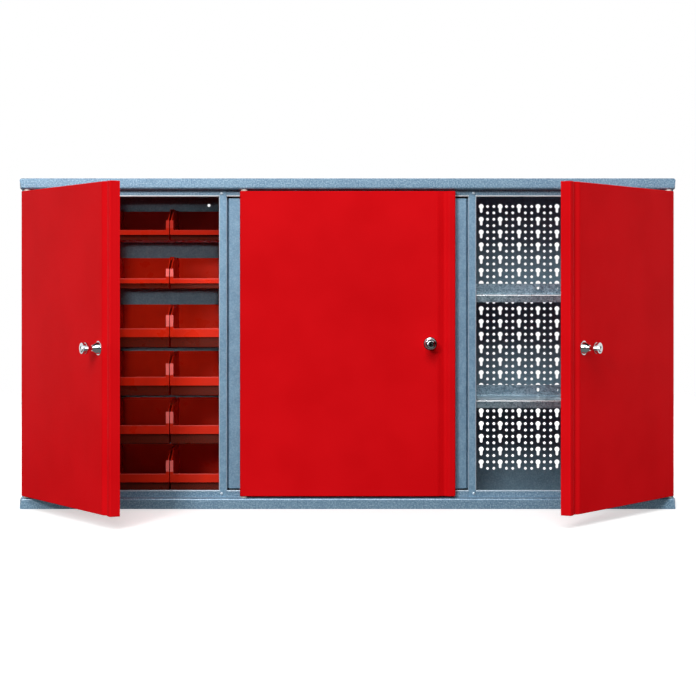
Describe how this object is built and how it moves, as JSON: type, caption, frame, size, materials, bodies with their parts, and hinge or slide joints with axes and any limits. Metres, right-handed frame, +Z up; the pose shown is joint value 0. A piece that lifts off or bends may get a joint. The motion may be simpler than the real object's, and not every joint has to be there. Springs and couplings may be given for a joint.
{
  "type": "wall tool cabinet",
  "caption": "Wide shallow blue steel wall cabinet with three red lockable doors, open-front red parts bins, perforated tool panels and shelves.",
  "frame": {"origin": "centre of the cabinet's underside, midway between the front flanges and the back", "axes": "+X to the right seen from the front, +Y to the wall behind, +Z up"},
  "size_m": [1.19, 0.5229, 0.6],
  "materials": {
    "hammered_blue": "hammered semi-gloss grey-blue paint",
    "red_door_paint": "smooth semi-gloss red paint",
    "red_bin_plastic": "smooth red plastic",
    "galvanised_steel": "galvanised sheet with mottled spangle",
    "chrome": "polished",
    "zinc_steel": "zinc plated",
    "pale_plastic": "matte"
  },
  "bodies": {
    "cabinet": {"top_panel": "hammered_blue", "bottom_panel": "hammered_blue", "side_left": "hammered_blue", "side_right": "hammered_blue", "post_wall_1": "hammered_blue", "post_wall_2": "hammered_blue", "post_wall_3": "hammered_blue", "post_wall_4": "hammered_blue", "post_cover_left": "hammered_blue", "post_cover_right": "hammered_blue", "back_left": "hammered_blue", "back_middle": "hammered_blue", "back_right": "hammered_blue", "frame_screws": "zinc_steel", "shelf_upper": "galvanised_steel", "shelf_lower": "galvanised_steel", "bin_rail_1": "hammered_blue", "bin_rail_2": "hammered_blue", "bin_rail_3": "hammered_blue", "bin_rail_4": "hammered_blue", "bin_rail_5": "hammered_blue", "bin_rail_6": "hammered_blue", "hinge_pins_left": "zinc_steel", "hinge_pins_middle": "zinc_steel", "hinge_pins_right": "zinc_steel", "hinge_washers": "pale_plastic", "bin_1_1": "red_bin_plastic", "bin_2_1": "red_bin_plastic", "bin_3_1": "red_bin_plastic", "bin_4_1": "red_bin_plastic", "bin_5_1": "red_bin_plastic", "bin_6_1": "red_bin_plastic"},
    "door_left": {"door_left": "red_door_paint", "lock_body_left": "chrome", "lock_nut_left": "zinc_steel"},
    "door_middle": {"door_middle": "red_door_paint", "lock_body_middle": "chrome", "lock_nut_middle": "zinc_steel"},
    "door_right": {"door_right": "red_door_paint", "lock_body_right": "chrome", "lock_nut_right": "zinc_steel"},
    "lock_left": {"lock_knob_left": "chrome", "lock_cam_left": "zinc_steel"},
    "lock_middle": {"lock_knob_middle": "chrome", "lock_cam_middle": "zinc_steel"},
    "lock_right": {"lock_knob_right": "chrome", "lock_cam_right": "zinc_steel"},
    "bin_1_2": {"bin_1_2": "red_bin_plastic"},
    "bin_1_3": {"bin_1_3": "red_bin_plastic"},
    "bin_2_2": {"bin_2_2": "red_bin_plastic"},
    "bin_2_3": {"bin_2_3": "red_bin_plastic"},
    "bin_3_2": {"bin_3_2": "red_bin_plastic"},
    "bin_3_3": {"bin_3_3": "red_bin_plastic"},
    "bin_4_2": {"bin_4_2": "red_bin_plastic"},
    "bin_4_3": {"bin_4_3": "red_bin_plastic"},
    "bin_5_2": {"bin_5_2": "red_bin_plastic"},
    "bin_5_3": {"bin_5_3": "red_bin_plastic"},
    "bin_6_2": {"bin_6_2": "red_bin_plastic"},
    "bin_6_3": {"bin_6_3": "red_bin_plastic"}
  },
  "joints": [
    {"name": "door_left_hinge", "type": "hinge", "parent": "cabinet", "child": "door_left", "pos_m": [-0.583, -0.091, 0.3], "axis": [0, 0, -1], "range_deg": [-58.6, 51.4]},
    {"name": "door_middle_hinge", "type": "hinge", "parent": "cabinet", "child": "door_middle", "pos_m": [-0.1885, -0.091, 0.3], "axis": [0, 0, -1], "range_deg": [0, 100]},
    {"name": "door_right_hinge", "type": "hinge", "parent": "cabinet", "child": "door_right", "pos_m": [0.583, -0.091, 0.3], "axis": [0, 0, 1], "range_deg": [-54.6, 55.4]},
    {"name": "lock_left_turn", "type": "hinge", "parent": "door_left", "child": "lock_left", "pos_m": [-0.41432, -0.38462, 0.3], "axis": [-0.8536, -0.521, 0], "range_deg": [0, 90]},
    {"name": "lock_middle_turn", "type": "hinge", "parent": "door_middle", "child": "lock_middle", "pos_m": [0.15, -0.1, 0.3], "axis": [0, -1, 0], "range_deg": [0, 90]},
    {"name": "lock_right_turn", "type": "hinge", "parent": "door_right", "child": "lock_right", "pos_m": [0.39425, -0.37213, 0.3], "axis": [-0.8151, 0.5793, 0], "range_deg": [0, 90]},
    {"name": "bin_1_2_slide", "type": "slide", "parent": "cabinet", "child": "bin_1_2", "axis": [0, -1, 0], "range_m": [0, 0.165]},
    {"name": "bin_1_3_slide", "type": "slide", "parent": "cabinet", "child": "bin_1_3", "axis": [0, -1, 0], "range_m": [0, 0.08]},
    {"name": "bin_2_2_slide", "type": "slide", "parent": "cabinet", "child": "bin_2_2", "axis": [0, -1, 0], "range_m": [0, 0.165]},
    {"name": "bin_2_3_slide", "type": "slide", "parent": "cabinet", "child": "bin_2_3", "axis": [0, -1, 0], "range_m": [0, 0.08]},
    {"name": "bin_3_2_slide", "type": "slide", "parent": "cabinet", "child": "bin_3_2", "axis": [0, -1, 0], "range_m": [0, 0.165]},
    {"name": "bin_3_3_slide", "type": "slide", "parent": "cabinet", "child": "bin_3_3", "axis": [0, -1, 0], "range_m": [0, 0.08]},
    {"name": "bin_4_2_slide", "type": "slide", "parent": "cabinet", "child": "bin_4_2", "axis": [0, -1, 0], "range_m": [0, 0.165]},
    {"name": "bin_4_3_slide", "type": "slide", "parent": "cabinet", "child": "bin_4_3", "axis": [0, -1, 0], "range_m": [0, 0.08]},
    {"name": "bin_5_2_slide", "type": "slide", "parent": "cabinet", "child": "bin_5_2", "axis": [0, -1, 0], "range_m": [0, 0.165]},
    {"name": "bin_5_3_slide", "type": "slide", "parent": "cabinet", "child": "bin_5_3", "axis": [0, -1, 0], "range_m": [0, 0.08]},
    {"name": "bin_6_2_slide", "type": "slide", "parent": "cabinet", "child": "bin_6_2", "axis": [0, -1, 0], "range_m": [0, 0.017]},
    {"name": "bin_6_3_slide", "type": "slide", "parent": "cabinet", "child": "bin_6_3", "axis": [0, -1, 0], "range_m": [0, 0.017]}
  ]
}
